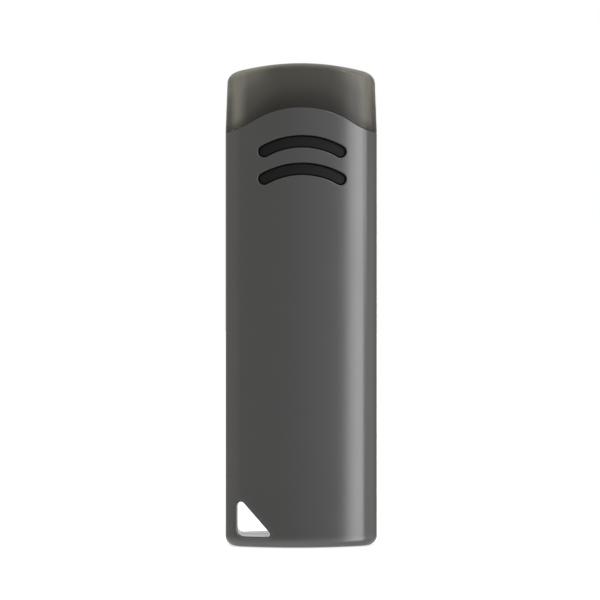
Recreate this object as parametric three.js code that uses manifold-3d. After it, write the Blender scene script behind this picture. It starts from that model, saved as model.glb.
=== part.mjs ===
// Pocket friction eraser: a case of two half shells holds a rubber core, whose head stands out at
// the top, and four rubber grip strips that show through arched slots in the case.
// Millimetres. The part stands on its base: +Z runs along its length, its front faces -Y, and the
// origin is at the middle of the base.

import * as THREE from 'three';
import { mergeVertices } from 'three/addons/utils/BufferGeometryUtils.js';
import Module from 'manifold-3d';

// Outside of the eraser
const LENGTH = 63.1; // base to the top of the head
const WIDTH = 20;
const THICKNESS = 8;
const EDGE_RADIUS = 2.5; // round between a crowned face and a side
const SIDE_BAND = 0.6; // flat strip along the middle of each side
const BASE_FILLET = 1.25;

// Rubber head
const HEAD_HEIGHT = 9; // top of the head above the case's shoulders
const HEAD_DRAFT = 0.25; // how far each side leans in by the top
const HEAD_TOP_RADIUS = 40; // arc of the top, seen from the front
const HEAD_CORNER_RADIUS = 1.5; // round of the top at the sides
const HEAD_EDGE_RADIUS = 0.8; // round of the top at the front and rear

// Arch of the case that rises over the head's front and rear
const ARCH_RISE = 3.15; // top of the arch above the level that its feet run out to
const ARCH_RADIUS = 12.8;
const ARCH_FOOT_RADIUS = 9; // hollow round at each foot of the arch

// Grip slots and the strips in them
const GRIP_ROWS = ['upper', 'lower'];
const GRIP_DROP = 4.45; // top of the arch to the middle of the upper slot
const GRIP_PITCH = 3.57;
const GRIP_ARC_RADIUS = 10.2; // centre line of a slot
const GRIP_CHORD = 9.9; // between the centres of a slot's round ends
const GRIP_SLOT_WIDTH = 1.68;
const GRIP_RECESS = 0.45; // face of a strip below the case
const GRIP_LEDGE = 0.5; // flange of a strip beyond the slot
const GRIP_FLANGE = 0.6; // thickness of that flange

// Strap hole, a right triangle with round corners
const STRAP_HOLE_WIDTH = 4.65;
const STRAP_HOLE_HEIGHT = 5.23;
const STRAP_HOLE_SIDE = 1.6; // case left between the hole and the side
const STRAP_HOLE_FLOOR = 1.42; // case left under the hole
const STRAP_HOLE_ROUNDS = { square: 0.8, right: 0.35, top: 0.45 };
const STRAP_WALL = 1.1; // wall round the hole inside the case

// Inside of the case
const WALL = 1.2;
const LIP_THICKNESS = 0.5; // rear shell's lip inside the front shell's rim
const LIP_HEIGHT = 0.6;
const BOSS_DIAMETER = 3.6;
const BOSS_INSET = 4.8; // boss axis from the side of the case
const PIN_DIAMETER = 1.8;
const PIN_LENGTH = 1.5; // pin of the front boss in the rear boss's socket
const MIDDLE_BOSS_HEIGHT = 22;
const LOW_BOSS_HEIGHT = 7;
const ANCHOR_BRIDGE = 1.2; // rubber between the lower grips and the anchor holes
const STEM_TAIL = 3.6; // rubber under the anchor holes
const SHELF_THICKNESS = 1.4; // ledge that the stem stands on
const SHELF_GAP = 1.6; // between the front ledge and the rear ledge

// Clearances
const FIT = 0.1; // between pieces that fit together
const SEAM = 0.06; // between the two shells

// Fineness of the curves, and the length that cutters run past what they cut
const CROWN_STEPS = 16;
const EDGE_STEPS = 6;
const FILLET_STEPS = 5;
const CURVE_STEPS = 6;
const ROUND_STEPS = 24;
const SMALLEST_ROUND = 0.1;
const OVERRUN = 5;

// Heights worked out from the sizes above
const SHOULDER = LENGTH - HEAD_HEIGHT;
const ARCH_TOP = SHOULDER + ARCH_RISE;
const DOME_AXIS = LENGTH - HEAD_TOP_RADIUS; // axis that the head's top turns about
const GRIP_SPREAD = Math.asin(GRIP_CHORD / 2 / GRIP_ARC_RADIUS);
const GRIP_SAG = GRIP_ARC_RADIUS * (1 - Math.cos(GRIP_SPREAD));
const GRIP_POCKET_WIDTH = GRIP_SLOT_WIDTH + 2 * GRIP_LEDGE + 2 * FIT;
const LOWEST_GRIP = ARCH_TOP - GRIP_DROP - (GRIP_ROWS.length - 1) * GRIP_PITCH;
const ANCHOR_RADIUS = BOSS_DIAMETER / 2 + FIT;
const ANCHOR_HEIGHT = LOWEST_GRIP - GRIP_SAG - GRIP_POCKET_WIDTH / 2 - ANCHOR_BRIDGE - ANCHOR_RADIUS;
const STEM_BOTTOM = ANCHOR_HEIGHT - ANCHOR_RADIUS - STEM_TAIL;

// Depths of the layers from the case's outer face inwards
const GRIP_SEAT = WALL + FIT; // front of a strip's flange, and the stem's own face
const GRIP_BACK = GRIP_SEAT + GRIP_FLANGE;

const BOSS_X = WIDTH / 2 - BOSS_INSET;
const ANCHORS = [[-BOSS_X, ANCHOR_HEIGHT], [BOSS_X, ANCHOR_HEIGHT]];
const BOSSES = [
  ...ANCHORS,
  [-BOSS_X, MIDDLE_BOSS_HEIGHT],
  [BOSS_X, MIDDLE_BOSS_HEIGHT],
  [BOSS_X, LOW_BOSS_HEIGHT],
];

const wasm = await Module();
wasm.setup();

// A closed three.js geometry as a solid that can be cut and joined
function solid(geometry) {
  geometry.deleteAttribute('normal');
  geometry.deleteAttribute('uv');
  const welded = mergeVertices(geometry);
  const vertProperties = new Float32Array(welded.attributes.position.array);
  const triVerts = new Uint32Array(welded.index.array);
  return new wasm.Manifold(new wasm.Mesh({ numProp: 3, vertProperties, triVerts }));
}

// Outline of the crowned section: two faces, each an arc that meets the sides by round edges.
// It starts on the left, runs along the front to the right and comes back along the rear.
function section(width, thickness, edgeRadius) {
  const rise = (thickness - SIDE_BAND) / 2;
  const edgeX = width / 2 - edgeRadius;
  const edgeY = SIDE_BAND / 2;
  const crownRadius = (edgeX ** 2 + rise ** 2 - edgeRadius ** 2) / (2 * (rise - edgeRadius));
  const spread = Math.asin(edgeX / (crownRadius - edgeRadius));
  const crownY = crownRadius - thickness / 2;
  const right = [];
  for (let i = 1; i <= CROWN_STEPS / 2; i += 1) {
    const angle = (spread * i) / (CROWN_STEPS / 2);
    right.push([crownRadius * Math.sin(angle), crownY - crownRadius * Math.cos(angle)]);
  }
  for (let i = 1; i <= EDGE_STEPS; i += 1) {
    const angle = spread + ((Math.PI / 2 - spread) * i) / EDGE_STEPS;
    right.push([edgeX + edgeRadius * Math.sin(angle), -edgeY - edgeRadius * Math.cos(angle)]);
  }
  const left = right.map(([x, y]) => [-x, y]).reverse();
  const front = [...left, [0, -thickness / 2], ...right];
  const rear = front.map(([x, y]) => [x, -y]).reverse();
  return [...front, ...rear];
}

// The eraser's section, a given depth inside its outer face
function insetSection(depth) {
  const edgeRadius = Math.max(EDGE_RADIUS - depth, SMALLEST_ROUND);
  return section(WIDTH - 2 * depth, THICKNESS - 2 * depth, edgeRadius);
}

// Closed skin over a stack of outlines with as many points each, listed from the bottom up.
// A point on the front and its partner on the rear share their x, so the ends close in strips.
function loft(rings) {
  const count = rings[0].length;
  const index = [];
  const quad = (a, b, c, d) => index.push(a, b, c, a, c, d);
  for (let level = 0; level < rings.length - 1; level += 1) {
    const low = level * count;
    const high = low + count;
    for (let i = 0; i < count; i += 1) {
      const next = (i + 1) % count;
      quad(low + i, low + next, high + next, high + i);
    }
  }
  const top = (rings.length - 1) * count;
  for (let i = 0; i < count / 2 - 1; i += 1) {
    const partner = count - 1 - i;
    quad(i, partner, partner - 1, i + 1);
    quad(top + i, top + i + 1, top + partner - 1, top + partner);
  }
  const geometry = new THREE.BufferGeometry();
  geometry.setAttribute('position', new THREE.Float32BufferAttribute(rings.flat(2), 3));
  geometry.setIndex(index);
  return solid(geometry);
}

// The case's form, a given depth inside its outer face, from its rounded base to a height
function envelope(depth, height) {
  const fillet = Math.max(BASE_FILLET - depth, SMALLEST_ROUND);
  const rings = [];
  for (let i = 0; i <= FILLET_STEPS; i += 1) {
    const angle = (Math.PI / 2) * (i / FILLET_STEPS);
    const z = depth + fillet * (1 - Math.cos(angle));
    const inset = depth + fillet * (1 - Math.sin(angle));
    rings.push(insetSection(inset).map(([x, y]) => [x, y, z]));
  }
  rings.push(insetSection(depth).map(([x, y]) => [x, y, height]));
  return loft(rings);
}

// A straight length of the section, a given depth inside the outer face
function prism(depth, bottom, top) {
  const outline = insetSection(depth);
  return loft([bottom, top].map((z) => outline.map(([x, y]) => [x, y, z])));
}

// An outline in x and z, carried along y
function throughY(shape, front, rear) {
  const options = { depth: rear - front, bevelEnabled: false, curveSegments: CURVE_STEPS };
  const geometry = new THREE.ExtrudeGeometry(shape, options);
  geometry.rotateX(Math.PI / 2);
  geometry.translate(0, rear, 0);
  return solid(geometry);
}

// An outline in x and z, carried right through the eraser
function throughCase(shape) {
  return throughY(shape, -THICKNESS / 2 - OVERRUN, THICKNESS / 2 + OVERRUN);
}

// A round bar along y, at x and z
function bar([x, z], diameter, front, rear) {
  const radius = diameter / 2;
  const geometry = new THREE.CylinderGeometry(radius, radius, rear - front, ROUND_STEPS);
  geometry.translate(x, (front + rear) / 2, z);
  return solid(geometry);
}

// A block as wide as the eraser, between two depths and two heights
function block(front, rear, bottom, top) {
  const geometry = new THREE.BoxGeometry(WIDTH + 2 * OVERRUN, rear - front, top - bottom);
  geometry.translate(0, (front + rear) / 2, (bottom + top) / 2);
  return solid(geometry);
}

// Everything in front of y, or everything behind it
function inFrontOf(y) {
  return block(y - THICKNESS - OVERRUN, y, -OVERRUN, LENGTH + OVERRUN);
}

function behind(y) {
  return block(y, y + THICKNESS + OVERRUN, -OVERRUN, LENGTH + OVERRUN);
}

// Everything under the case's top edge, raised by a gap: an arch whose feet run out to the sides
function underArch(gap) {
  const level = SHOULDER + gap;
  const radius = ARCH_RADIUS + gap;
  const footRadius = ARCH_FOOT_RADIUS - gap;
  const centreZ = ARCH_TOP - ARCH_RADIUS;
  const footZ = SHOULDER + ARCH_FOOT_RADIUS;
  const footX = Math.sqrt((ARCH_RADIUS + ARCH_FOOT_RADIUS) ** 2 - (footZ - centreZ) ** 2);
  const lean = Math.atan2(footZ - centreZ, footX); // way from the arch's centre to the foot's
  const far = WIDTH + OVERRUN;
  const shape = new THREE.Shape();
  shape.moveTo(-far, -OVERRUN);
  shape.lineTo(far, -OVERRUN);
  shape.lineTo(far, level);
  shape.absarc(footX, footZ, footRadius, -Math.PI / 2, lean - Math.PI, true);
  shape.absarc(0, centreZ, radius, lean, Math.PI - lean, false);
  shape.absarc(-footX, footZ, footRadius, -lean, -Math.PI / 2, true);
  shape.lineTo(-far, level);
  return throughCase(shape);
}

// A band of a given width along a grip slot's centre line, with round ends
function gripBand(top, width) {
  const half = width / 2;
  const centre = top - GRIP_ARC_RADIUS;
  const right = Math.PI / 2 - GRIP_SPREAD;
  const left = Math.PI / 2 + GRIP_SPREAD;
  const end = (angle) => [GRIP_ARC_RADIUS * Math.cos(angle), centre + GRIP_ARC_RADIUS * Math.sin(angle)];
  const shape = new THREE.Shape();
  shape.absarc(0, centre, GRIP_ARC_RADIUS + half, right, left, false);
  shape.absarc(...end(left), half, left, left + Math.PI, false);
  shape.absarc(0, centre, GRIP_ARC_RADIUS - half, left, right, true);
  shape.absarc(...end(right), half, right + Math.PI, right + 2 * Math.PI, false);
  return throughCase(shape);
}

// The strap hole's triangle, grown all round by an amount, with its corners rounded
function strapTriangle(growth) {
  const { square, right, top } = STRAP_HOLE_ROUNDS;
  const slope = Math.atan2(STRAP_HOLE_HEIGHT, STRAP_HOLE_WIDTH);
  const inner = (STRAP_HOLE_WIDTH + STRAP_HOLE_HEIGHT
    - Math.hypot(STRAP_HOLE_WIDTH, STRAP_HOLE_HEIGHT)) / 2;
  const scale = (inner + growth) / inner;
  const x = -WIDTH / 2 + STRAP_HOLE_SIDE - growth;
  const z = STRAP_HOLE_FLOOR - growth;
  const width = STRAP_HOLE_WIDTH * scale;
  const height = STRAP_HOLE_HEIGHT * scale;
  const squareRound = square + growth;
  const rightRound = right + growth;
  const topRound = top + growth;
  const rightReach = rightRound / Math.tan(slope / 2);
  const topReach = topRound / Math.tan((Math.PI / 2 - slope) / 2);
  const slant = Math.PI / 2 - slope; // way that the sloping side faces
  const shape = new THREE.Shape();
  shape.absarc(x + squareRound, z + squareRound, squareRound, Math.PI, 1.5 * Math.PI, false);
  shape.absarc(x + width - rightReach, z + rightRound, rightRound, -Math.PI / 2, slant, false);
  shape.absarc(x + topRound, z + height - topReach, topRound, slant, Math.PI, false);
  return throughCase(shape);
}

// Middle height of a row of grips
function gripHeight(row) {
  return ARCH_TOP - GRIP_DROP - row * GRIP_PITCH;
}

// Both halves of the case in one piece: hollow, open at the top, with its slots and strap hole
function caseBody() {
  const top = ARCH_TOP + OVERRUN;
  const halfDepth = THICKNESS / 2;
  let hollow = envelope(WALL, top + OVERRUN).subtract(strapTriangle(STRAP_WALL));
  for (const place of BOSSES) {
    hollow = hollow.subtract(bar(place, BOSS_DIAMETER, -halfDepth, halfDepth));
  }
  const shelfTop = STEM_BOTTOM - FIT;
  const shelf = block(-halfDepth, halfDepth, shelfTop - SHELF_THICKNESS, shelfTop)
    .subtract(block(-SHELF_GAP / 2, SHELF_GAP / 2, STEM_BOTTOM - LENGTH, STEM_BOTTOM));
  let body = envelope(0, top).intersect(underArch(0));
  body = body.subtract(hollow.subtract(shelf)).subtract(strapTriangle(0));
  GRIP_ROWS.forEach((_, row) => {
    body = body.subtract(gripBand(gripHeight(row), GRIP_SLOT_WIDTH));
  });
  return body;
}

// A ring inside the case's wall that stops short of the strap hole's wall
function rimRing(outer, inner, strapGrowth) {
  const top = ARCH_TOP + OVERRUN;
  return envelope(outer, top)
    .subtract(envelope(inner, top + OVERRUN))
    .subtract(strapTriangle(strapGrowth))
    .intersect(underArch(0));
}

// Front shell: a rebate for the rear shell's lip, and pins on its bosses
function frontShell(body) {
  const channel = rimRing(WALL - LIP_THICKNESS - FIT, WALL + FIT, STRAP_WALL)
    .intersect(behind(-SEAM / 2 - LIP_HEIGHT - FIT));
  let shell = body.intersect(inFrontOf(-SEAM / 2)).subtract(channel);
  for (const place of BOSSES) {
    shell = shell.add(bar(place, PIN_DIAMETER, -SEAM - PIN_LENGTH, PIN_LENGTH));
  }
  return shell;
}

// Rear shell: a lip round its rim, and sockets in its bosses
function rearShell(body) {
  const lip = rimRing(WALL - LIP_THICKNESS, WALL, STRAP_WALL + FIT)
    .intersect(behind(-SEAM / 2 - LIP_HEIGHT))
    .intersect(inFrontOf(SEAM));
  let shell = body.intersect(behind(SEAM / 2)).add(lip);
  for (const place of BOSSES) {
    shell = shell.subtract(bar(place, PIN_DIAMETER + 2 * FIT, -SEAM, PIN_LENGTH + FIT));
  }
  return shell;
}

// A point of the edge between the head's wall and its domed top, rounded by a ball that touches
// both: share 0 lies on the wall, 1 on the dome
function headEdge([x, y], [outerX, outerY], share) {
  const wall = new THREE.Vector3(outerX - x, outerY - y, 0).normalize();
  const radius = HEAD_EDGE_RADIUS + (HEAD_CORNER_RADIUS - HEAD_EDGE_RADIUS) * Math.abs(wall.x);
  const centre = new THREE.Vector3(x, y, 0).addScaledVector(wall, -radius);
  const reach = HEAD_TOP_RADIUS - radius;
  const rise = Math.sqrt(reach ** 2 - centre.x ** 2);
  centre.z = DOME_AXIS + rise;
  const dome = new THREE.Vector3(centre.x / reach, 0, rise / reach);
  return centre.addScaledVector(wall.lerp(dome, share).normalize(), radius).toArray();
}

// The head: sides that lean in from the shoulders up, and a domed top with rounded edges
function head() {
  const outer = insetSection(0);
  const wall = insetSection(HEAD_DRAFT);
  const rings = [outer.map(([x, y]) => [x, y, SHOULDER])];
  for (let i = 0; i <= FILLET_STEPS; i += 1) {
    rings.push(wall.map((point, k) => headEdge(point, outer[k], i / FILLET_STEPS)));
  }
  return loft(rings);
}

// Rubber core: the head over the arch, and a stem with anchor holes and pockets for the grips
function eraserCore() {
  const stemTop = ARCH_TOP + (LENGTH - ARCH_TOP) / 2;
  let core = head().subtract(underArch(FIT)).add(prism(GRIP_SEAT, STEM_BOTTOM, stemTop));
  const halfDepth = THICKNESS / 2;
  for (const place of ANCHORS) {
    core = core.subtract(bar(place, 2 * ANCHOR_RADIUS, -halfDepth, halfDepth));
  }
  const behindGrips = prism(GRIP_BACK + FIT, -OVERRUN, LENGTH);
  GRIP_ROWS.forEach((_, row) => {
    core = core.subtract(gripBand(gripHeight(row), GRIP_POCKET_WIDTH).subtract(behindGrips));
  });
  return core;
}

// A pair of grip strips, front and rear in one: a rib in the slot, and a flange behind the wall
function gripPair(row) {
  const rib = gripBand(gripHeight(row), GRIP_SLOT_WIDTH - 2 * FIT)
    .intersect(prism(GRIP_RECESS, -OVERRUN, LENGTH));
  const flange = gripBand(gripHeight(row), GRIP_SLOT_WIDTH + 2 * GRIP_LEDGE)
    .intersect(prism(GRIP_SEAT, -OVERRUN, LENGTH));
  return rib.add(flange).subtract(prism(GRIP_BACK, -2 * OVERRUN, LENGTH + OVERRUN));
}

const casePlastic = { color: 0x4b4b4c, roughness: 0.45, metalness: 0 };
const eraserRubber = { color: 0x55534d, roughness: 0.4, metalness: 0 };
const gripRubber = { color: 0x1e1e1e, roughness: 0.6, metalness: 0 };

// A named mesh from a solid
function piece(name, shape, finish) {
  const { vertProperties, triVerts } = shape.getMesh();
  const geometry = new THREE.BufferGeometry();
  geometry.setAttribute('position', new THREE.Float32BufferAttribute(vertProperties, 3));
  geometry.setIndex(Array.from(triVerts));
  geometry.computeVertexNormals();
  const mesh = new THREE.Mesh(geometry, new THREE.MeshStandardMaterial(finish));
  mesh.name = name;
  return mesh;
}

const eraser = new THREE.Group();
const body = caseBody();
eraser.add(piece('front_shell', frontShell(body), casePlastic));
eraser.add(piece('rear_shell', rearShell(body), casePlastic));
eraser.add(piece('eraser_core', eraserCore(), eraserRubber));
GRIP_ROWS.forEach((rowName, row) => {
  const pair = gripPair(row);
  eraser.add(piece(`front_${rowName}_grip`, pair.intersect(inFrontOf(0)), gripRubber));
  eraser.add(piece(`rear_${rowName}_grip`, pair.intersect(behind(0)), gripRubber));
});

export default eraser;
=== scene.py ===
"""Looks of a pocket friction eraser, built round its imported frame.

The two half shells of the case, the rubber core and the four grip strips are fine closed meshes that
stand for the frame's solids. Lengths are written in millimetres. The front faces -Y.
"""

import math

import bpy
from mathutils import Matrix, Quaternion, Vector
from mathutils.geometry import delaunay_2d_cdt
from mathutils.kdtree import KDTree

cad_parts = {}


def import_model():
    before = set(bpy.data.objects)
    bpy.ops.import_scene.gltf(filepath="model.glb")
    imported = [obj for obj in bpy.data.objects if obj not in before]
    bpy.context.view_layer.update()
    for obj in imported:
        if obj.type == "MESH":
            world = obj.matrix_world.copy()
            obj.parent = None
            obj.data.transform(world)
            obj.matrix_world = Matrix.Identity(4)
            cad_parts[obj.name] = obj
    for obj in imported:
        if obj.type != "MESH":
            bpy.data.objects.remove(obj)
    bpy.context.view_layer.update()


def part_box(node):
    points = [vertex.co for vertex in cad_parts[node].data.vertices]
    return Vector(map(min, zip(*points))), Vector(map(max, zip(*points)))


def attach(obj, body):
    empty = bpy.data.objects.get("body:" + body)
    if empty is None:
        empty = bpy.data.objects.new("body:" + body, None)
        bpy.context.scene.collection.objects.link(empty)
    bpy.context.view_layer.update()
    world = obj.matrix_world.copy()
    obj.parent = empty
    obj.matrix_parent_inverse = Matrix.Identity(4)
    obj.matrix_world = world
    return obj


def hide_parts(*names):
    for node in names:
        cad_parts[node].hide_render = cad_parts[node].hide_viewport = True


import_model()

MM = 0.001

# Sizes that the frame gives
case_low, case_high = (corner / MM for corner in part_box("front_shell"))
core_low, core_high = (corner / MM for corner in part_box("eraser_core"))
WIDTH = case_high.x - case_low.x
THICKNESS = -2 * case_low.y
LENGTH = core_high.z
ARCH_TOP = case_high.z
STEM_BOTTOM = core_low.z

# Outside of the case
EDGE_RADIUS = 2.5
SIDE_BAND = 0.6
EASING = 0.5  # of the shading on each side of where the crown meets the round edge
EASING_STEPS = 6
BASE_FILLET = 1.25  # round the sides
BASE_EDGE = 0.95  # along the front
WALL = 1.2
SEAM = 0.004
FIT = 0.1
HOLLOW_REACH = 8.1  # half the width of the hollow inside
ARCH_RISE = 3.15
ARCH_RADIUS = 12.8
ARCH_FOOT_RADIUS = 9
SHOULDER = ARCH_TOP - ARCH_RISE
ARCH_CENTRE = ARCH_TOP - ARCH_RADIUS
FOOT_Z = SHOULDER + ARCH_FOOT_RADIUS
FOOT_X = math.sqrt((ARCH_RADIUS + ARCH_FOOT_RADIUS) ** 2 - (FOOT_Z - ARCH_CENTRE) ** 2)

# Rubber head and the stem under it
HEAD_DRAFT = 0.25
HEAD_TOP_RADIUS = 40
HEAD_CORNER_RADIUS = 1.5
HEAD_EDGE_RADIUS = 0.8
HEAD_GAP = 0.01  # above the case's edge
DOME_AXIS = LENGTH - HEAD_TOP_RADIUS
STEM_DEPTH = 2.05

# Grip slots and strips
GRIP_ARC_RADIUS = 10.2
GRIP_CHORD = 9.9
GRIP_SLOT_WIDTH = 1.6
GRIP_RECESS = 0.45
GRIP_LEDGE = 0.5
GRIP_GAP = 0.05
GRIP_FLANGE = 0.6
GRIP_SEAT = WALL + FIT
GRIP_BACK = GRIP_SEAT + GRIP_FLANGE
GRIP_SPREAD = math.asin(GRIP_CHORD / 2 / GRIP_ARC_RADIUS)
GRIP_ROWS = ("upper", "lower")

# Strap hole, a right triangle with round corners
STRAP_INSET = 1.6
STRAP_X = -WIDTH / 2 + STRAP_INSET
STRAP_Z = 1.42
STRAP_WIDTH = 4.65
STRAP_HEIGHT = 5.23
STRAP_WALL = 1.1
STRAP_ROUNDS = {"square": 0.9, "right": 0.35, "top": 0.45}
STRAP_SLOPE = math.atan2(STRAP_HEIGHT, STRAP_WIDTH)

# Rounds of the moulded edges
RIM_LIP = 0.14
SLOT_LIP = 0.14
STRAP_LIP = 0.65
STRAP_LIP_TURN = math.radians(48)  # of its shading, up to a crisp inner edge
HEAD_LIP = 0.03
GRIP_ROUND = 0.2

# Fineness of the meshes
LIP_STEPS = 5
FILLET_STEPS = 12
ARCH_STEPS = 72
SHOULDER_STEPS = 16
CAP_STEPS = 14
BAND_COLUMNS = 6
BAND_STEPS = 60
CORNER_STEPS = 8
EDGE_SPACING = 0.35
CROWN_STEPS = 44
EDGE_STEPS = 18
ROW_SPACING = 1.0
FILL_SPACING = 1.2
CLEARANCE = 0.4
VERTEX_DIGITS = 4  # to which corners at one place agree
PLACE_DIGITS = 6
FILL_TOLERANCE = 1e-7
SAME_PLACE = 1e-6


def turns(steps):
    """Angles of a quarter turn."""
    return [math.pi / 2 * i / steps for i in range(steps + 1)]


def spaced(start, end, spacing):
    """Evenly spaced values from start to end, about as far apart as spacing."""
    count = max(1, round(abs(end - start) / spacing))
    return [start + (end - start) * i / count for i in range(count + 1)]


class Profile:
    """Front half of the crowned section. A station runs from -3 on the left to 3 on the right: within
    -1 and 1 it lies on the crown, out to 2 on the round edge and out to 3 on the side's flat band."""

    def __init__(self, width, thickness, edge_radius):
        rise = (thickness - SIDE_BAND) / 2
        self.width = width
        self.edge = edge_radius
        self.edge_x = width / 2 - edge_radius
        self.crown = (self.edge_x**2 + rise**2 - edge_radius**2) / (2 * (rise - edge_radius))
        self.spread = math.asin(self.edge_x / (self.crown - edge_radius))
        self.crown_y = self.crown - thickness / 2

    def at(self, station):
        """Point and outward normal, in x and y. The normal is eased where the crown meets the edge."""
        side = math.copysign(1, station)
        reach = abs(station)
        if reach > 2:
            return (side * self.width / 2, -SIDE_BAND / 2 * (3 - reach)), (side, 0)
        if reach <= 1:
            angle = self.spread * reach
            x = self.crown * math.sin(angle)
            y = self.crown_y - self.crown * math.cos(angle)
        else:
            angle = self.spread + (math.pi / 2 - self.spread) * (reach - 1)
            x = self.edge_x + self.edge * math.sin(angle)
            y = -SIDE_BAND / 2 - self.edge * math.cos(angle)
        offsets = spaced(-EASING, EASING, EASING / EASING_STEPS)
        near = [self.turn(self.length(reach) + offset) for offset in offsets]
        turn = sum(near) / len(near)
        return (side * x, y), (side * math.sin(turn), -math.cos(turn))

    def turn(self, length):
        """Turn of the crown or the round edge from the front, at a length from the middle."""
        crown = self.crown * self.spread
        return min(length, crown) / self.crown + max(length - crown, 0) / self.edge

    def length(self, station):
        """Length along the section from its middle."""
        reach = abs(station)
        crown = self.crown * self.spread * min(reach, 1)
        edge = self.edge * (math.pi / 2 - self.spread) * min(max(reach - 1, 0), 1)
        band = SIDE_BAND / 2 * max(reach - 2, 0)
        return math.copysign(crown + edge + band, station)

    def station(self, x):
        """Station of the crown or the round edge at x."""
        reach = abs(x)
        if reach <= self.crown * math.sin(self.spread):
            return math.copysign(math.asin(reach / self.crown) / self.spread, x)
        angle = math.asin(min((reach - self.edge_x) / self.edge, 1))
        return math.copysign(1 + (angle - self.spread) / (math.pi / 2 - self.spread), x)


CASE = Profile(WIDTH, THICKNESS, EDGE_RADIUS)


def face_y(x, depth):
    """Depth of the front at x, on a surface that lies that far inside the case's face."""
    crown = CASE.crown - depth
    if abs(x) <= crown * math.sin(CASE.spread):
        return CASE.crown_y - math.sqrt(crown**2 - x**2)
    edge = EDGE_RADIUS - depth
    return -SIDE_BAND / 2 - math.sqrt(max(edge**2 - (abs(x) - CASE.edge_x) ** 2, 0))


def fillet_at(station):
    """Radius of the base's fillet."""
    _, (nx, _) = CASE.at(station)
    return BASE_EDGE + (BASE_FILLET - BASE_EDGE) * abs(nx)


def base_inset(z, radius):
    """How far the base's fillet draws the face in at a height."""
    if z >= radius:
        return 0
    return radius - math.sqrt(radius**2 - (radius - z) ** 2)


def rise_of(z, radius):
    """Length along the face above the fillet, or below it a length that goes with the fillet's angle."""
    if z >= radius:
        return z - radius
    return -BASE_FILLET * math.asin((radius - z) / radius)


def case_top(x, gap):
    """Height of the case's top edge at x, raised by a gap, and its normal in x and z. It is an arch
    whose feet run out to the sides by hollow rounds."""
    reach = abs(x)
    radius = ARCH_RADIUS + gap
    foot_radius = ARCH_FOOT_RADIUS - gap
    if reach <= FOOT_X * radius / (ARCH_RADIUS + ARCH_FOOT_RADIUS):
        rise = math.sqrt(radius**2 - x**2)
        return ARCH_CENTRE + rise, (x / radius, rise / radius)
    if reach >= FOOT_X:
        return SHOULDER + gap, (0, 1)
    drop = math.sqrt(foot_radius**2 - (FOOT_X - reach) ** 2)
    return FOOT_Z - drop, (math.copysign((FOOT_X - reach) / foot_radius, x), drop / foot_radius)


def mix(first, second, angle):
    """Vector that turns from the first of two to the second by an angle."""
    return tuple(math.cos(angle) * a + math.sin(angle) * b for a, b in zip(first, second))


class Surface:
    """Faces with a normal at each corner. Corners at one place share a vertex, and each face turns
    the way its normals point. A mirrored surface lies at the rear."""

    def __init__(self, mirrored=False):
        self.way = -1 if mirrored else 1
        self.places = {}
        self.points = []
        self.faces = []
        self.normals = []

    def vertex(self, point):
        """Number of the vertex at a point."""
        key = tuple(round(value, VERTEX_DIGITS) + 0.0 for value in point)
        if key not in self.places:
            self.places[key] = len(self.points)
            self.points.append(Vector(point) * MM)
        return self.places[key]

    def face(self, corners):
        """Adds a face from pairs of a point and a normal."""
        kept = {}
        for (x, y, z), (nx, ny, nz) in corners:
            kept.setdefault(self.vertex((x, y * self.way, z)), Vector((nx, ny * self.way, nz)).normalized())
        if len(kept) < 3:
            return
        order = list(kept)
        a, b, c = (self.points[i] for i in order[:3])
        across = (b - a).cross(c - a)
        if len(order) == 4:
            across += (c - a).cross(self.points[order[3]] - a)
        if across.dot(sum(kept.values(), Vector())) < 0:
            order.reverse()
        self.faces.append(order)
        self.normals.extend(kept[i] for i in order)

    def strip(self, first, second, closed=True):
        """Quads between two rows of corners."""
        count = len(first)
        for i in range(count if closed else count - 1):
            j = (i + 1) % count
            self.face([first[i], first[j], second[j], second[i]])

    def strips(self, rows, closed=True):
        """Quads between all rows of corners, one after the other."""
        for first, second in zip(rows, rows[1:]):
            self.strip(first, second, closed)

    def fill(self, loops, spots=(), place=None):
        """Triangles between an outer loop and holes. A loop holds pairs of a flat place and a corner,
        spots are flat places in between, and place lifts a spot to a corner."""
        flat = [uv for loop in loops for uv, _ in loop]
        corners = [corner for loop in loops for _, corner in loop]
        outlines = []
        for loop in loops:
            start = sum(map(len, outlines))
            outlines.append(range(start, start + len(loop)))
        tree = KDTree(len(flat))
        for i, (u, v) in enumerate(flat):
            tree.insert((u, v, 0), i)
        tree.balance()
        for u, v in spots:
            if tree.find((u, v, 0))[2] > CLEARANCE:
                flat.append((u, v))
                corners.append(place(u, v))
        inside_with_holes = 2
        places = [Vector(uv) for uv in flat]
        made = delaunay_2d_cdt(places, [], outlines, inside_with_holes, FILL_TOLERANCE)
        _, _, faces, origins, _, _ = made
        for face in faces:
            self.face([corners[origins[i][0]] for i in face])

    def build(self, name, material):
        """Makes the piece, in metres."""
        mesh = bpy.data.meshes.new(name)
        mesh.from_pydata(self.points, [], self.faces, shade_flat=False)
        mesh.normals_split_custom_set(self.normals)
        mesh.materials.append(material)
        piece = bpy.data.objects.new(name, mesh)
        bpy.context.scene.collection.objects.link(piece)
        return piece


def with_normal(corners, normal):
    """The same points with one normal."""
    return [(point, normal) for point, _ in corners]


def flat_loop(corners, second=2):
    """Pairs of a flat place and a corner. The place is x and a second coordinate."""
    return [((point[0], point[second]), (point, normal)) for point, normal in corners]


def corners_of(run):
    """The corners of a run, without their flat places."""
    return [corner for _, corner in run]


def within(spot, loop):
    """Whether a flat place lies inside a closed loop."""
    u, v = spot
    inside = False
    for i, (here, _) in enumerate(loop):
        before = loop[i - 1][0]
        if (here[1] > v) != (before[1] > v):
            crossing = before[0] + (here[0] - before[0]) * (v - before[1]) / (here[1] - before[1])
            inside ^= u < crossing
    return inside


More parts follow.
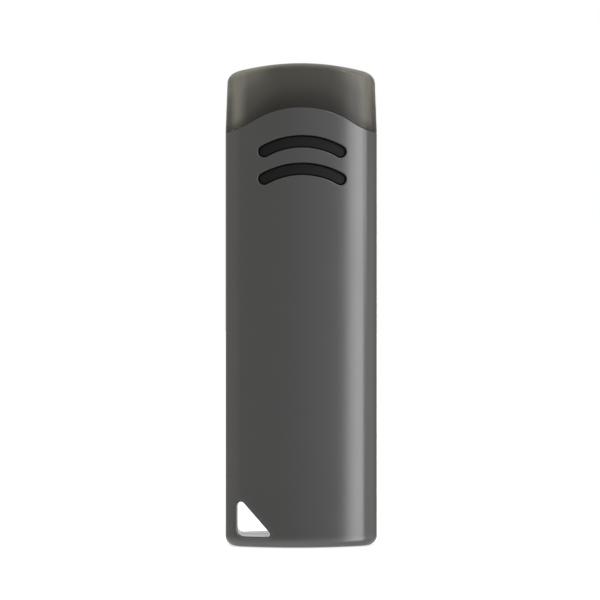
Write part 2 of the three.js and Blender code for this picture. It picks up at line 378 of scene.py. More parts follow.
def finished(piece, node):
    """Hides the frame's part that a piece stands for, and hangs the piece on the root body."""
    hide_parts(node)
    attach(piece, "root")


# Outlines in x and z: pairs of a point and the normal that points away from the middle


def arc(centre, radius, start, end, steps, facing=1):
    """Points of an arc. The normal points away from the centre, or to it where facing is -1."""
    made = []
    for i in range(steps + 1):
        angle = start + (end - start) * i / steps
        way = (math.cos(angle), math.sin(angle))
        point = (centre[0] + radius * way[0], centre[1] + radius * way[1])
        made.append((point, (facing * way[0], facing * way[1])))
    return made


def joined(*runs):
    """One closed outline from runs of points, with the straight stretches between them divided."""
    made = []
    for i, run in enumerate(runs):
        (x0, z0), normal = run[-1]
        (x1, z1), _ = runs[(i + 1) % len(runs)][0]
        gap = math.hypot(x1 - x0, z1 - z0)
        made += run
        shares = spaced(0, 1, EDGE_SPACING / gap)[1:-1] if gap > EDGE_SPACING else []
        made += [((x0 + (x1 - x0) * share, z0 + (z1 - z0) * share), normal) for share in shares]
    return [pair for i, pair in enumerate(made) if math.dist(pair[0], made[i - 1][0]) > SAME_PLACE]


def grown(outline, growth):
    """The outline moved along its normals."""
    return [((x + nx * growth, z + nz * growth), (nx, nz)) for (x, z), (nx, nz) in outline]


def grip_band(top, half_width):
    """Arched band with round ends, round a slot's middle line."""
    centre = (0, top - GRIP_ARC_RADIUS)
    right = math.pi / 2 - GRIP_SPREAD
    left = math.pi / 2 + GRIP_SPREAD

    def end(angle):
        return centre[0] + GRIP_ARC_RADIUS * math.cos(angle), centre[1] + GRIP_ARC_RADIUS * math.sin(angle)

    return joined(
        arc(centre, GRIP_ARC_RADIUS + half_width, right, left, BAND_STEPS),
        arc(end(left), half_width, left, left + math.pi, CAP_STEPS),
        arc(centre, GRIP_ARC_RADIUS - half_width, left, right, BAND_STEPS, facing=-1),
        arc(end(right), half_width, right + math.pi, right + 2 * math.pi, CAP_STEPS),
    )


def strap_triangle():
    """Outline of the strap hole."""
    square, right, top = (STRAP_ROUNDS[corner] for corner in ("square", "right", "top"))
    slant = math.pi / 2 - STRAP_SLOPE
    right_x = STRAP_X + STRAP_WIDTH - right / math.tan(STRAP_SLOPE / 2)
    top_z = STRAP_Z + STRAP_HEIGHT - top / math.tan(slant / 2)
    return joined(
        arc((STRAP_X + square, STRAP_Z + square), square, math.pi, 1.5 * math.pi, CORNER_STEPS),
        arc((right_x, STRAP_Z + right), right, -math.pi / 2, slant, CORNER_STEPS),
        arc((STRAP_X + top, top_z), top, slant, math.pi, CORNER_STEPS),
    )


# Case


def shoulder_stations():
    """Stations of the right shoulder's columns, from the side's flat band to the hollow."""
    foot = CASE.station(HOLLOW_REACH)
    return spaced(2, foot, (2 - foot) / (SHOULDER_STEPS - 1))[:-1]


def arch_stations():
    """Stations over the hollow, from right to left."""
    foot = CASE.station(HOLLOW_REACH)
    return spaced(foot, -foot, 2 * foot / ARCH_STEPS)


def seam_station(offset):
    """Station on the side's flat band, that far from the seam."""
    return 3 - (SEAM / 2 + offset) / (SIDE_BAND / 2)


def top_run(offset, depth, turn):
    """Corners along the top edge from right to left, with their flat places."""
    shoulder = [seam_station(offset)] + shoulder_stations()
    made = []
    for station in shoulder + arch_stations() + [-station for station in reversed(shoulder)]:
        (x, y), (nx, ny) = CASE.at(station)
        z, (up_x, up_z) = case_top(x, -offset)
        corner = (x - nx * depth, y - ny * depth, z), mix((nx, ny, 0), (up_x, 0, up_z), turn)
        made.append(((CASE.length(station), rise_of(z, fillet_at(station))), corner))
    return made


def side_rows():
    """Heights of the points along a side, from the shoulder to the fillet."""
    return spaced(SHOULDER - ROW_SPACING, BASE_FILLET, ROW_SPACING)


def side_run(side, offset, depth, turn):
    """Corners down one side along the seam, from under the shoulder round the fillet to the base."""
    y = -SEAM / 2 - offset
    along = CASE.length(seam_station(offset))
    run = [(WIDTH / 2, z, 0) for z in side_rows()]
    for angle in turns(FILLET_STEPS)[1:]:
        inset = BASE_FILLET * (1 - math.cos(angle))
        run.append((WIDTH / 2 - inset, BASE_FILLET * (1 - math.sin(angle)), angle))
    made = []
    for x, z, angle in run:
        nx, nz = math.cos(angle), -math.sin(angle)
        rise = z - BASE_FILLET if angle == 0 else -BASE_FILLET * angle
        point = (side * (x - nx * depth), y, z - nz * depth)
        normal = mix((side * nx, 0, nz), (0, 1, 0), turn)
        made.append(((side * along, rise), (point, normal)))
    return made


def base_run(offset, depth, turn):
    """Corners along the base's seam, from left to right, between the fillets."""
    reach = WIDTH / 2 - BASE_FILLET
    normal = mix((0, 0, -1), (0, 1, 0), turn)
    return [
        ((x, 0), ((x, -SEAM / 2 - offset, depth), normal))
        for x in spaced(-reach, reach, FILL_SPACING)[1:-1]
    ]


def rim(turn):
    """The four runs of the rim's round edge at one turn: top, left, base and right."""
    offset = RIM_LIP * (1 - math.sin(turn))
    depth = RIM_LIP * (1 - math.cos(turn))
    left = side_run(-1, offset, depth, turn)
    right = side_run(1, offset, depth, turn)
    return top_run(offset, depth, turn), left, base_run(offset, depth, turn), right[::-1]


def hole_lip(outline, radius, turn, shown):
    """Corners of a hole's round edge on the case's face, with their flat places. The normals show a
    turn of their own."""
    made = []
    for (x, z), (nx, nz) in grown(outline, radius * (1 - math.sin(turn))):
        station = CASE.station(x)
        fillet = fillet_at(station)
        face_normal = CASE.at(station)[1]
        y = face_y(x, base_inset(z, fillet)) + radius * (1 - math.cos(turn))
        normal = mix((face_normal[0], face_normal[1], 0), (-nx, 0, -nz), shown)
        made.append(((CASE.length(station), rise_of(z, fillet)), ((x, y, z), normal)))
    return made


def columns():
    """Stations of the face's columns between the two seams."""
    end = seam_station(RIM_LIP)
    crown = [-1 + 2 * i / CROWN_STEPS for i in range(CROWN_STEPS + 1)]
    edge = [1 + (i + 1) / EDGE_STEPS for i in range(EDGE_STEPS)]
    return [-end] + [-station for station in reversed(edge)] + crown + edge + [end]


def fillet_corner(station, angle):
    """Corner on the base's fillet, at an angle from the upright face down to the base."""
    (x, y), (nx, ny) = CASE.at(station)
    radius = fillet_at(station)
    inset = radius * (1 - math.cos(angle))
    normal = (nx * math.cos(angle), ny * math.cos(angle), -math.sin(angle))
    return (x - nx * inset, y - ny * inset, radius * (1 - math.sin(angle))), normal


def outer_face(skin, first_rim, holes):
    """The case's face with its holes, the fillet round the base and the base itself."""
    top, left, base, right = first_rim
    lowest = -BASE_FILLET * math.pi / 2
    stations = columns()
    by_length = {round(CASE.length(station), PLACE_DIGITS): station for station in stations}
    foot = []
    for station in stations[1:-1]:
        foot.append(((CASE.length(station), lowest), fillet_corner(station, math.pi / 2)))

    def place(length, rise):
        station = by_length[round(length, PLACE_DIGITS)]
        if rise < 0:
            return fillet_corner(station, -rise / BASE_FILLET)
        (x, y), (nx, ny) = CASE.at(station)
        return (x, y, rise + fillet_at(station)), (nx, ny, 0)

    rises = [-BASE_FILLET * angle for angle in turns(FILLET_STEPS)[1:-1]]
    rises += [z - BASE_FILLET for z in side_rows()]
    rises += spaced(SHOULDER - BASE_FILLET, ARCH_TOP - BASE_FILLET, ROW_SPACING)
    spots = []
    for station in stations[1:-1]:
        (x, _), _ = CASE.at(station)
        spots += [(CASE.length(station), rise) for rise in rises
                  if rise + fillet_at(station) < case_top(x, 0)[0] - CLEARANCE]
    spots = [spot for spot in spots if not any(within(spot, hole) for hole in holes)]
    skin.fill([top + left + foot + right] + holes, spots, place)

    down = (0, 0, -1)
    ends = [left[-1][1], right[0][1]]
    edge = [ends[0]] + corners_of(foot) + [ends[1]] + corners_of(base)[::-1]
    skin.fill([flat_loop(with_normal(edge, down), second=1)])


def cavity_outline():
    """Corners of the hollow in x and z, from the right shoulder round the floor to the left one. A
    slanted wall keeps the hollow clear of the strap hole."""
    level, _ = case_top(HOLLOW_REACH, 0)
    nx, nz = math.sin(STRAP_SLOPE), math.cos(STRAP_SLOPE)
    line = (STRAP_X + STRAP_WIDTH) * nx + STRAP_Z * nz + STRAP_WALL
    return [
        (HOLLOW_REACH, level),
        (HOLLOW_REACH, WALL),
        ((line - WALL * nz) / nx, WALL),
        (-HOLLOW_REACH, (line + HOLLOW_REACH * nx) / nz),
        (-HOLLOW_REACH, level),
    ]


def cavity(skin, last_rim, strap_end, slots):
    """Inside of a shell: the rim's top, the flat seam, the hollow's walls and its inner face."""
    top = corners_of(last_rim[0])
    shares = [i / SHOULDER_STEPS for i in range(SHOULDER_STEPS + 1)]
    reach = HOLLOW_REACH
    level, _ = case_top(reach, 0)
    seam_y = -SEAM / 2

    def between(x, share):
        return face_y(x, WALL) * share + seam_y * (1 - share)

    inner = [(reach, between(reach, share), level) for share in shares[:-1]]
    across = [CASE.at(station)[0][0] for station in arch_stations()]
    arch = [(x, case_top(x, 0)[0]) for x in across]
    inner += [(x, face_y(x, WALL), z) for x, z in arch]
    inner += [(-reach, between(reach, share), level) for share in reversed(shares[:-1])]
    skin.strip(top, [(point, normal) for point, (_, normal) in zip(inner, top)], closed=False)

    corners = cavity_outline()
    walls = []
    for (x0, z0), (x1, z1) in zip(corners, corners[1:]):
        run = math.hypot(x1 - x0, z1 - z0)
        normal = (-(z0 - z1) / run, 0, (x0 - x1) / run)
        steps = spaced(0, 1, FILL_SPACING / run)
        points = [(x0 + (x1 - x0) * step, z0 + (z1 - z0) * step) for step in steps]
        rows = [[((x, between(x, share), z), normal) for x, z in points] for share in shares]
        skin.strips(rows, closed=False)
        walls += points[:-1]
    walls.append(corners[-1])

    back = (0, 1, 0)
    rim_end = [top[-1]] + corners_of(last_rim[1] + last_rim[2] + last_rim[3]) + [top[0]]
    edge = with_normal(rim_end, back) + [((x, seam_y, z), back) for x, z in walls]
    skin.fill([flat_loop(edge), flat_loop(with_normal(strap_end, back))])

    def inside(x, z):
        nx, ny = CASE.at(CASE.station(x))[1]
        return (x, face_y(x, WALL), z), (-nx, -ny, 0)

    loops = [[(place, inside(*place)) for place in walls + arch[-2:0:-1]]]
    loops += [[(place, inside(*place)) for place, _ in slot] for slot in slots]
    grid = [(x, z) for x in spaced(-reach, reach, FILL_SPACING)[1:-1]
            for z in spaced(WALL, ARCH_TOP, FILL_SPACING)[1:-1]]
    grid = [spot for spot in grid if within(spot, loops[0])]
    grid = [spot for spot in grid if not any(within(spot, loop) for loop in loops[1:])]
    skin.fill(loops, grid, inside)


def grip_top(row):
    """Height of a slot's middle line at its crest."""
    _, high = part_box(f"front_{row}_grip")
    return high.z / MM - GRIP_SLOT_WIDTH / 2 - GRIP_LEDGE


def slot_wall(skin, slot):
    """Round edge and wall of a grip slot. Gives the start of the edge on the face."""
    rows = [hole_lip(slot, SLOT_LIP, turn, turn) for turn in turns(LIP_STEPS)]
    skin.strips([corners_of(row) for row in rows])
    edge = corners_of(rows[-1])
    skin.strip(edge, [((x, face_y(x, WALL), z), normal) for (x, _, z), normal in edge])
    return rows[0]


def strap_wall(skin, strap):
    """Round edges and wall of the strap hole. Gives the start of its edge on the face, and its end at
    the seam."""
    lip = []
    for turn in turns(LIP_STEPS):
        lip.append(hole_lip(strap, STRAP_LIP, turn, STRAP_LIP_TURN * math.sin(turn)))
    skin.strips([corners_of(row) for row in lip])
    rows = [[(point, (-nx, 0, -nz)) for (_, (point, _)), (_, (nx, nz)) in zip(lip[-1], strap)]]
    for turn in turns(LIP_STEPS):
        y = -SEAM / 2 - RIM_LIP * (1 - math.sin(turn))
        growth = RIM_LIP * (1 - math.cos(turn))
        rows.append([
            ((x, y, z), mix((-nx, 0, -nz), (0, 1, 0), turn))
            for (x, z), (nx, nz) in grown(strap, growth)
        ])
    skin.strips(rows)
    return lip[0], rows[-1]


def shell(place, mirrored, material):
    """Half of the case."""
    skin = Surface(mirrored)
    rims = [rim(turn) for turn in turns(LIP_STEPS)]
    skin.strips([corners_of(sum(runs, [])) for runs in rims])
    slots = [grip_band(grip_top(row), GRIP_SLOT_WIDTH / 2) for row in GRIP_ROWS]
    holes = [slot_wall(skin, slot) for slot in slots]
    strap_start, strap_end = strap_wall(skin, strap_triangle())
    outer_face(skin, rims[0], holes + [strap_start])
    cavity(skin, rims[-1], strap_end, slots)
    finished(skin.build(f"{place}_case_half", material), f"{place}_shell")


# Rubber core


def core_columns():
    """Stations of the front from left to right."""
    foot = CASE.station(HOLLOW_REACH)
    middle = [-foot + 2 * foot * i / ARCH_STEPS for i in range(1, ARCH_STEPS)]
    sides = spaced(foot, 2, (2 - foot) / SHOULDER_STEPS) + spaced(2, 3, 1 / BAND_COLUMNS)[1:]
    return [-station for station in reversed(sides)] + middle + sides


def around(corner, *settings):
    """A row of corners over all the columns, along the front and back along the rear."""
    front = [corner(station, *settings) for station in core_columns()]
    rear = [((x, -y, z), (nx, -ny, nz)) for (x, y, z), (nx, ny, nz) in reversed(front[1:-1])]
    return front + rear


def head_ball(station):
    """The ball that rounds the head's top edge: its centre and radius, and its normals where it
    touches the wall and the dome."""
    (x, y), (nx, ny) = CASE.at(station)
    wall = Vector((nx, ny, 0))
    radius = HEAD_EDGE_RADIUS + (HEAD_CORNER_RADIUS - HEAD_EDGE_RADIUS) * abs(nx)
    centre = Vector((x, y, 0)) - wall * (HEAD_DRAFT + radius)
    reach = HEAD_TOP_RADIUS - radius
    centre.z = DOME_AXIS + math.sqrt(reach**2 - centre.x**2)
    dome = Vector((centre.x, 0, centre.z - DOME_AXIS)) / reach
    return centre, radius, wall, dome


def head_edge(station, share):
    """Corner on the head's round top edge: share 0 is on the wall and 1 on the dome."""
    centre, radius, wall, dome = head_ball(station)
    normal = wall.slerp(dome, share)
    return tuple(centre + normal * radius), tuple(normal)


def head_side(station, share, lip_turn=0):
    """Corner on the head's leaning side: share 0 is at the case's edge and 1 where the top's round
    starts. A lip turn goes round the lower edge to the underside."""
    (x, y), (nx, ny) = CASE.at(station)
    depth = HEAD_LIP * (1 - math.cos(lip_turn))
    low, (up_x, up_z) = case_top(x, HEAD_GAP + HEAD_LIP * (1 - math.sin(lip_turn)))
    high = head_ball(station)[0].z
    z = low + (high - low) * share
    lean = HEAD_DRAFT / (high - SHOULDER)
    inset = lean * (z - SHOULDER) + depth
    normal = mix((nx, ny, lean), (-up_x, 0, -up_z), lip_turn)
    return (x - nx * inset, y - ny * inset, z), normal


def stem_top(station):
    """Corner at the top of the stem's wall, under the head."""
    (x, y), (nx, ny) = CASE.at(station)
    x -= nx * STEM_DEPTH
    y -= ny * STEM_DEPTH
    return (x, y, case_top(x, HEAD_GAP)[0]), (nx, ny, 0)


def closed_end(skin, row):
    """Closes a row of corners with strips from the front to the rear, between the sides' flat bands."""
    count = len(core_columns())
    between_bands = slice(BAND_COLUMNS, count - BAND_COLUMNS)
    ranks = []
    for share in spaced(-1, 1, 1 / BAND_COLUMNS):
        ranks.append([((x, -y * share, z), normal) for (x, y, z), normal in row[:count][between_bands]])
    skin.strips(ranks, closed=False)


def core(material):
    """The rubber head, with its stem inside the case."""
    skin = Surface()
    rounds = spaced(0, 1, 1 / FILLET_STEPS)
    rises = spaced(0, 1, 1 / CAP_STEPS)
    crown = [around(head_edge, share) for share in rounds]
    sides = [around(head_side, share) for share in rises]
    sides[-1] = crown[0]
    lip = [around(head_side, 0, turn) for turn in turns(LIP_STEPS)]
    skin.strips(crown)
    skin.strips(sides)
    skin.strips(lip)
    closed_end(skin, crown[-1])

    down = (0, 0, -1)
    top = around(stem_top)
    skin.strip(with_normal(lip[-1], down), with_normal(top, down))
    walls = []
    for share in spaced(0, 1, ROW_SPACING / (SHOULDER - STEM_BOTTOM)):
        walls.append([((x, y, z + (STEM_BOTTOM - z) * share), normal) for (x, y, z), normal in top])
    skin.strips(walls)
    closed_end(skin, with_normal(walls[-1], down))
    finished(skin.build("rubber_core", material), "eraser_core")


# Grip strips


def grip(place, row, mirrored, material):
    """Arched rib with a flange behind the case's wall."""
    skin = Surface(mirrored)
    top = grip_top(row)
    rib = grip_band(top, GRIP_SLOT_WIDTH / 2 - GRIP_GAP)
    flange = grip_band(top, GRIP_SLOT_WIDTH / 2 + GRIP_LEDGE)

    def level(outline, depth, drop, turn):
        """Corners of an outline at a depth under the case's face, and a drop below that."""
        made = []
        for (x, z), (nx, nz) in outline:
            face_normal = CASE.at(CASE.station(x))[1]
            normal = mix((face_normal[0], face_normal[1], 0), (nx, 0, nz), turn)
            made.append(((x, face_y(x, depth) + drop, z), normal))
        return made

    flat, upright = 0, math.pi / 2
    rows = []
    for turn in turns(LIP_STEPS):
        outline = grown(rib, -GRIP_ROUND * (1 - math.sin(turn)))
        rows.append(level(outline, GRIP_RECESS, GRIP_ROUND * (1 - math.cos(turn)), turn))
    rows.append(level(rib, GRIP_SEAT, 0, upright))
    skin.strips(rows)
    skin.strip(level(rib, GRIP_SEAT, 0, flat), level(flange, GRIP_SEAT, 0, flat))
    skin.strip(level(flange, GRIP_SEAT, 0, upright), level(flange, GRIP_BACK, 0, upright))
    back = [(point, (-nx, -ny, -nz)) for point, (nx, ny, nz) in level(flange, GRIP_BACK, 0, flat)]
    for loop in (rows[0], back):
        skin.fill([flat_loop(loop)])
    finished(skin.build(f"{place}_{row}_strip", material), f"{place}_{row}_grip")


# Materials

# Linear colours; mottles as waves per metre, low and high; grains as waves per metre, strength and depth
MOTTLE_DETAIL = 3
GRAIN_DETAIL = 2
CASE_COLOUR = (0.0515, 0.0515, 0.051)
# paler colour along the foot: a painted reflection of the floor
CASE_PAINTED_REFLECTION = (0.15, 0.15, 0.148)
CASE_MOTTLE = (220, 0, 0.06)
CASE_ROUGHNESS = (160, 0.18, 0.22)
CASE_GRAIN = (7000, 0.06, 0.02)
# dark rubber colour, and the paler colour of a painted glow where light would shine through
RUBBER_DEEP = (0.0145, 0.0138, 0.0118)
RUBBER_PAINTED_GLOW = (0.2, 0.19, 0.1635)
RUBBER_ROUGHNESS = (180, 0.2, 0.24)
RUBBER_SPECULAR = 0.14
RUBBER_SCATTER = (1.0, 0.97, 0.9)
RUBBER_SCATTER_DEPTH = 3
RUBBER_GRAIN = (5000, 0.08, 0.02)
GRIP_DARK = (0.006, 0.006, 0.006)
GRIP_PALE = (0.009, 0.009, 0.0085)
GRIP_MOTTLE = (300, 0, 1)
GRIP_ROUGHNESS = (400, 0.5, 0.6)
GRIP_SPECULAR = 0.12
GRIP_GRAIN = (6000, 0.15, 0.03)

# Ramps over a length: its start and end, and the values there
# painted reflection of the floor, along the case's foot
PAINTED_REFLECTION_FOOT = (2, 0.4, 0, 1)  # of the case, above the base
# ramps of the rubber's painted glow, lighter where light would shine through it
ARCH_TO_FOOT = (6.2, 7, 0, 1)  # across, where the arch hands over to its foot
GLOW_OVER_ARCH = (0, 4.4, 0.115, 0.39)  # over the arch
PALE_EDGE = (-0.7, 0, 0, 0.45)  # next to the domed top
WORN_EDGE = (-0.7, 0, 0, 0.4)
PALE_ACROSS = (3, 8.5, 0, 0.18)
PALE_SIDES = (6.9, 8.7, 0, 0.62)
PALE_FACES = (1.7, 2.7, 0.1, 1)  # out from the seam's plane
# painted shade: the rubber's painted glow fades just over the case's edge
PAINTED_SHADE_BY_CASE = (0, 1.5, 0.3, 1)  # over the case's edge
CORNERS_ACROSS = (3.5, 6.5, 0, 1)
CORNERS_ABOVE = (3.6, 5.4, 0, 0.24)  # over the arch

# Sockets of a mix node, which has a pair for each kind of value
MIX_SHARE = 0
MIX_NUMBERS = (2, 3)
MIX_COLOURS = (6, 7)
MIXED_NUMBER = 0
MIXED_COLOUR = 2


class Shading:
    """A material's or the world's node tree, with short calls to add to it."""

    def __init__(self, tree):
        self.tree = tree
        self.tree.nodes.clear()

    def add(self, kind, inputs=None, **settings):
        """Adds a node. Each input is a value or another node's output."""
        node = self.tree.nodes.new(kind)
        for name, value in settings.items():
            setattr(node, name, value)
        for name, value in (inputs or {}).items():
            socket = node.inputs[name]
            if isinstance(value, bpy.types.NodeSocket):
                self.tree.links.new(value, socket)
            else:
                socket.default_value = value
        return node

    def place(self):
        """Where a point lies in the object's own frame."""
        return self.add("ShaderNodeTexCoord").outputs["Object"]

    def noise(self, waves, detail):
        """Noise through the piece, from 0 to 1."""
        inputs = {"Vector": self.place(), "Scale": waves, "Detail": detail}
        return self.add("ShaderNodeTexNoise", inputs).outputs["Fac"]

    def mottle(self, waves, low, high):
        """Soft noise between two values."""
        noise = self.noise(waves, MOTTLE_DETAIL)
        inputs = {"Value": noise, "From Min": 0, "From Max": 1, "To Min": low, "To Max": high}
        return self.add("ShaderNodeMapRange", inputs).outputs["Result"]

    def grain(self, waves, strength, depth):
        """Normals of a fine grain."""
        height = self.noise(waves, GRAIN_DETAIL)
        inputs = {"Height": height, "Strength": strength, "Distance": depth * MM}
        return self.add("ShaderNodeBump", inputs).outputs["Normal"]

    def combined(self, operation, first, second):
        """A number worked out from two."""
        return self.add("ShaderNodeMath", {0: first, 1: second}, operation=operation).outputs[0]

    def sum(self, first, second):
        return self.combined("ADD", first, second)

    def difference(self, first, second):
        return self.combined("SUBTRACT", first, second)

    def product(self, first, second):
        return self.combined("MULTIPLY", first, second)

    def greater(self, first, second):
        return self.combined("MAXIMUM", first, second)

    def along(self, axis):
        """Distance from the middle along an axis."""
        axes = self.add("ShaderNodeSeparateXYZ", {"Vector": self.place()}).outputs
        return self.add("ShaderNodeMath", {0: axes[axis]}, operation="ABSOLUTE").outputs[0]

    def vector(self, operation, first, second=(0, 0, 0)):
        """Results of a calculation with vectors."""
        return self.add("ShaderNodeVectorMath", {0: first, 1: second}, operation=operation).outputs

    def distance_from(self, across, height):
        """Distance from the nearer of two lines that run from the front to the rear at a height, one
        on each side of the middle."""
        folded = self.vector("ABSOLUTE", self.place())["Vector"]
        offset = self.vector("SUBTRACT", folded, (across * MM, 0, height * MM))["Vector"]
        flat = self.vector("MULTIPLY", offset, (1, 0, 1))["Vector"]
        return self.vector("LENGTH", flat)["Value"]

    def ramp(self, value, start, end, low, high):
        """A smooth change from low to high as a value goes from start to end."""
        inputs = {"Value": value, "From Min": start, "From Max": end, "To Min": low, "To Max": high}
        return self.add("ShaderNodeMapRange", inputs, interpolation_type="SMOOTHSTEP").outputs["Result"]

    def ramp_over(self, length, start, end, low, high):
        """The same over a length, with its start and end in millimetres."""
        return self.ramp(length, start * MM, end * MM, low, high)

    def blend(self, share, first, second):
        """A number between two."""
        inputs = {MIX_SHARE: share, MIX_NUMBERS[0]: first, MIX_NUMBERS[1]: second}
        return self.add("ShaderNodeMix", inputs, data_type="FLOAT").outputs[MIXED_NUMBER]

    def shades(self, share, first, second):
        """A colour between two."""
        inputs = {MIX_SHARE: share, MIX_COLOURS[0]: (*first, 1), MIX_COLOURS[1]: (*second, 1)}
        return self.add("ShaderNodeMix", inputs, data_type="RGBA").outputs[MIXED_COLOUR]

    def surface(self, inputs):
        """Ends a material with its shader."""
        shader = self.add("ShaderNodeBsdfPrincipled", inputs)
        self.add("ShaderNodeOutputMaterial", {"Surface": shader.outputs["BSDF"]})


def new_material(name):
    """A material, and the shading to fill it with."""
    material = bpy.data.materials.new(name)
    material.use_nodes = True
    return material, Shading(material.node_tree)


def case_plastic():
    """Satin moulded plastic with a fine spark-eroded grain. Its colour is painted paler along the foot, a
    painted reflection of the floor.
    """
    material, shading = new_material("case_plastic")
    # painted reflection: the colour turns paler towards the base, where the floor would show in the satin
    painted_floor_reflection = shading.ramp_over(shading.along("Z"), *PAINTED_REFLECTION_FOOT)
    tone = shading.sum(shading.product(painted_floor_reflection, painted_floor_reflection), shading.mottle(*CASE_MOTTLE))
    shading.surface({
        "Base Color": shading.shades(tone, CASE_COLOUR, CASE_PAINTED_REFLECTION),
        "Roughness": shading.mottle(*CASE_ROUGHNESS),
        "Normal": shading.grain(*CASE_GRAIN),
    })
    return material


def eraser_rubber():
    """Smoky see-through rubber with a satin skin that is worn dull at the top. Its colour is painted paler
    at the sides, the top edge and the corners, a painted glow where light would shine through, and painted
    darker next to the case, a painted shade."""
    material, shading = new_material("eraser_rubber")
    across = shading.along("X")
    over_arch = shading.difference(shading.distance_from(0, ARCH_CENTRE), ARCH_RADIUS * MM)
    over_foot = shading.difference(ARCH_FOOT_RADIUS * MM, shading.distance_from(FOOT_X, FOOT_Z))
    over_case = shading.blend(shading.ramp_over(across, *ARCH_TO_FOOT), over_arch, over_foot)
    over_dome = shading.difference(shading.distance_from(0, DOME_AXIS), HEAD_TOP_RADIUS * MM)

    # painted glow: lighter over the arch, at the top edge, the sides and the corners, where light would
    # shine through
    clear = shading.ramp_over(over_arch, *GLOW_OVER_ARCH)
    edge = shading.ramp_over(over_dome, *PALE_EDGE)
    sides = shading.sum(shading.ramp_over(across, *PALE_ACROSS), shading.ramp_over(across, *PALE_SIDES))
    sides = shading.product(sides, shading.ramp_over(shading.along("Y"), *PALE_FACES))
    # painted shade next to the case's edge
    sides = shading.product(sides, shading.ramp_over(over_case, *PAINTED_SHADE_BY_CASE))
    corners = shading.ramp_over(across, *CORNERS_ACROSS)
    corners = shading.product(corners, shading.ramp_over(over_arch, *CORNERS_ABOVE))
    # painted glow, summed from the ramps above
    painted_glow = shading.sum(shading.sum(clear, edge), shading.sum(sides, corners))
    worn = shading.ramp_over(over_dome, *WORN_EDGE)
    shading.surface({
        "Base Color": shading.shades(painted_glow, RUBBER_DEEP, RUBBER_PAINTED_GLOW),
        "Roughness": shading.sum(shading.mottle(*RUBBER_ROUGHNESS), worn),
        "Specular IOR Level": RUBBER_SPECULAR,
        "Subsurface Weight": 1.0,
        "Subsurface Radius": RUBBER_SCATTER,
        "Subsurface Scale": RUBBER_SCATTER_DEPTH * MM,
        "Normal": shading.grain(*RUBBER_GRAIN),
    })
    return material


def grip_rubber():
    """Dull black rubber."""
    material, shading = new_material("grip_rubber")
    shading.surface({
        "Base Color": shading.shades(shading.mottle(*GRIP_MOTTLE), GRIP_DARK, GRIP_PALE),
        "Roughness": shading.mottle(*GRIP_ROUGHNESS),
        "Specular IOR Level": GRIP_SPECULAR,
        "Normal": shading.grain(*GRIP_GRAIN),
    })
    return material


# Stage

CAMERA_LENS = 100
CAMERA_NEAR = 10
CAMERA_DISTANCE = 220
CAMERA_TURN = math.radians(-2.2)
CAMERA_HEIGHT = 32.25
CAMERA_SHIFT = -0.17  # sideways, along the picture
WHITE = (1, 1, 1, 1)
FLOOR_SIZE = 3000
FLOOR_DROP = 0.02
FLOOR_PAINT = (0.8, 0.8, 0.8, 1)
FLOOR_GLOW = 0.6  # seen by the camera alone

# Panels: their angles in degrees to the right of the front, with the top tilted to the right
LAMP_DISTANCE = 500
TALL = {"height": 970, "middle": 235}
PANELS = {
    "key": {"angle": 39, "tilt": 1.5, "width": 45, "radiance": 9.2, **TALL},
    "key_side": {"angle": 33.5, "tilt": 1.5, "width": 50, "radiance": 5.8, **TALL},
    "top": {"angle": 47, "tilt": 0, "width": 60, "radiance": 5, "height": 400, "middle": 250},
    "back": {"angle": 156, "tilt": -4, "width": 93, "radiance": 1.5, **TALL},
}

# Reflections of the studio: a ramp's start and end along one axis of the direction, and the values there
FRONT_WALL = (-0.2, 0.3, 0.5, 0.95)  # from left to right
LEFT_WALL = 0.85
RIGHT_WALL = (0.05, 0.14, 2.2, 1.2)  # from below to above
REAR_WALL = (0.85, 0.97, 0.4, 1.2)  # in to the middle
CEILING = (0.3, 0.8, 0, 1)
FLOOR_LEVEL = 0.8
LEFT_TO_RIGHT = (-0.5, 0.5, 0, 1)
FRONT_TO_SIDES = (-0.88, -0.6, 0, 1)
SIDES_TO_REAR = (-0.3, 0.7, 0, 1)
WALLS_TO_FLOOR = (-0.08, -0.35, 0, 1)
WARM = (1, 0.93, 0.8)
COOL = (0.97, 0.99, 1)
COOL_FROM_LEFT = (-0.8, 0.2, 0, 1)
COOL_TO_RIGHT = (0.5, 0.8, 1, 0.6)
FILL = 1.0


def camera():
    """Long lens, level and a little to the left of the front."""
    data = bpy.data.cameras.new("camera")
    data.lens = CAMERA_LENS
    data.clip_start = CAMERA_NEAR * MM
    eye = bpy.data.objects.new("camera", data)
    back = Vector((math.sin(CAMERA_TURN), -math.cos(CAMERA_TURN), 0))
    right = Vector((math.cos(CAMERA_TURN), math.sin(CAMERA_TURN), 0))
    place = back * CAMERA_DISTANCE + right * CAMERA_SHIFT + Vector((0, 0, CAMERA_HEIGHT))
    eye.location = place * MM
    eye.rotation_euler = (-back).to_track_quat("-Z", "Y").to_euler()
    bpy.context.scene.collection.objects.link(eye)
    bpy.context.scene.camera = eye


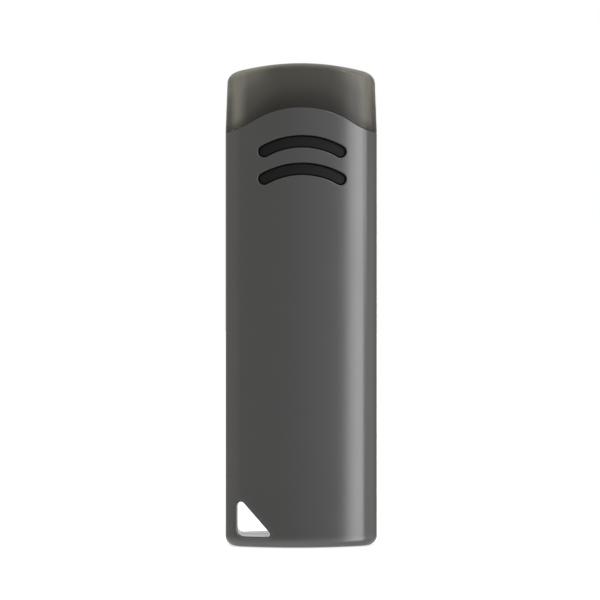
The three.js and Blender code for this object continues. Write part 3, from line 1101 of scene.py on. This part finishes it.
def floor():
    """Pale floor that takes the object's shadow and doesn't show in reflections."""
    half = FLOOR_SIZE / 2 * MM
    z = -FLOOR_DROP * MM
    corners = [(-half, -half, z), (half, -half, z), (half, half, z), (-half, half, z)]
    mesh = bpy.data.meshes.new("floor")
    mesh.from_pydata(corners, [], [(0, 1, 2, 3)])
    plane = bpy.data.objects.new("floor", mesh)
    plane.visible_glossy = False
    plane.visible_shadow = False
    bpy.context.scene.collection.objects.link(plane)
    material, shading = new_material("floor")
    path = shading.add("ShaderNodeLightPath").outputs
    glow = shading.product(path["Is Camera Ray"], FLOOR_GLOW)
    white = shading.add("ShaderNodeEmission", {"Color": WHITE, "Strength": glow})
    paint = shading.add("ShaderNodeBsdfDiffuse", {"Color": FLOOR_PAINT})
    both = shading.add("ShaderNodeAddShader", {0: white.outputs["Emission"], 1: paint.outputs["BSDF"]})
    shading.add("ShaderNodeOutputMaterial", {"Surface": both.outputs["Shader"]})
    mesh.materials.append(material)


def studio_level(shading, across, depth, height, below):
    """How bright the studio looks in reflections, by direction."""
    front = shading.ramp(across, *FRONT_WALL)
    right = shading.ramp(height, *RIGHT_WALL)
    sides = shading.blend(shading.ramp(across, *LEFT_TO_RIGHT), LEFT_WALL, right)
    ahead = shading.blend(shading.ramp(depth, *FRONT_TO_SIDES), front, sides)
    rear = shading.ramp(depth, *REAR_WALL)
    walls = shading.blend(shading.ramp(depth, *SIDES_TO_REAR), ahead, rear)
    room = shading.greater(walls, shading.ramp(height, *CEILING))
    return shading.blend(below, room, FLOOR_LEVEL)


def world():
    """Even white light. Reflections show a studio that is brighter on some sides, and the camera sees
    white."""
    made = bpy.data.worlds.new("studio")
    bpy.context.scene.world = made
    made.use_nodes = True
    shading = Shading(made.node_tree)

    def background(colour, strength):
        return shading.add("ShaderNodeBackground", {"Color": colour, "Strength": strength}).outputs[0]

    def chosen(share, first, second):
        return shading.add("ShaderNodeMixShader", {0: share, 1: first, 2: second}).outputs[0]

    way = shading.add("ShaderNodeTexCoord").outputs["Generated"]
    across, depth, height = shading.add("ShaderNodeSeparateXYZ", {"Vector": way}).outputs
    below = shading.ramp(height, *WALLS_TO_FLOOR)
    level = studio_level(shading, across, depth, height, below)
    cool = shading.product(shading.ramp(across, *COOL_FROM_LEFT), shading.ramp(across, *COOL_TO_RIGHT))
    tint = shading.shades(shading.greater(below, cool), WARM, COOL)

    path = shading.add("ShaderNodeLightPath").outputs
    light = chosen(path["Is Glossy Ray"], background(WHITE, FILL), background(tint, level))
    seen = shading.greater(path["Is Camera Ray"], path["Is Transmission Ray"])
    shading.add("ShaderNodeOutputWorld", {"Surface": chosen(seen, light, background(WHITE, 1))})


def lamp(name, angle, tilt, width, height, middle, radiance):
    """Soft panel that shows in reflections alone."""
    data = bpy.data.lights.new(name, "AREA")
    data.shape = "RECTANGLE"
    data.size = width * MM
    data.size_y = height * MM
    data.energy = radiance * math.pi * data.size * data.size_y
    panel = bpy.data.objects.new(name, data)
    turn = math.radians(angle)
    way = Vector((math.sin(turn), -math.cos(turn), 0))
    panel.location = (way * LAMP_DISTANCE + Vector((0, 0, middle))) * MM
    facing = (-way).to_track_quat("-Z", "Y")
    panel.rotation_euler = (facing @ Quaternion((0, 0, 1), math.radians(-tilt))).to_euler()
    panel.visible_camera = False
    panel.visible_diffuse = False
    bpy.context.scene.collection.objects.link(panel)


plastic = case_plastic()
strip_rubber = grip_rubber()
core(eraser_rubber())
for place, mirrored in (("front", False), ("rear", True)):
    shell(place, mirrored, plastic)
    for row in GRIP_ROWS:
        grip(place, row, mirrored, strip_rubber)

camera()
floor()
world()
for name, panel in PANELS.items():
    lamp(name, **panel)
bpy.context.scene.view_settings.view_transform = "Standard"
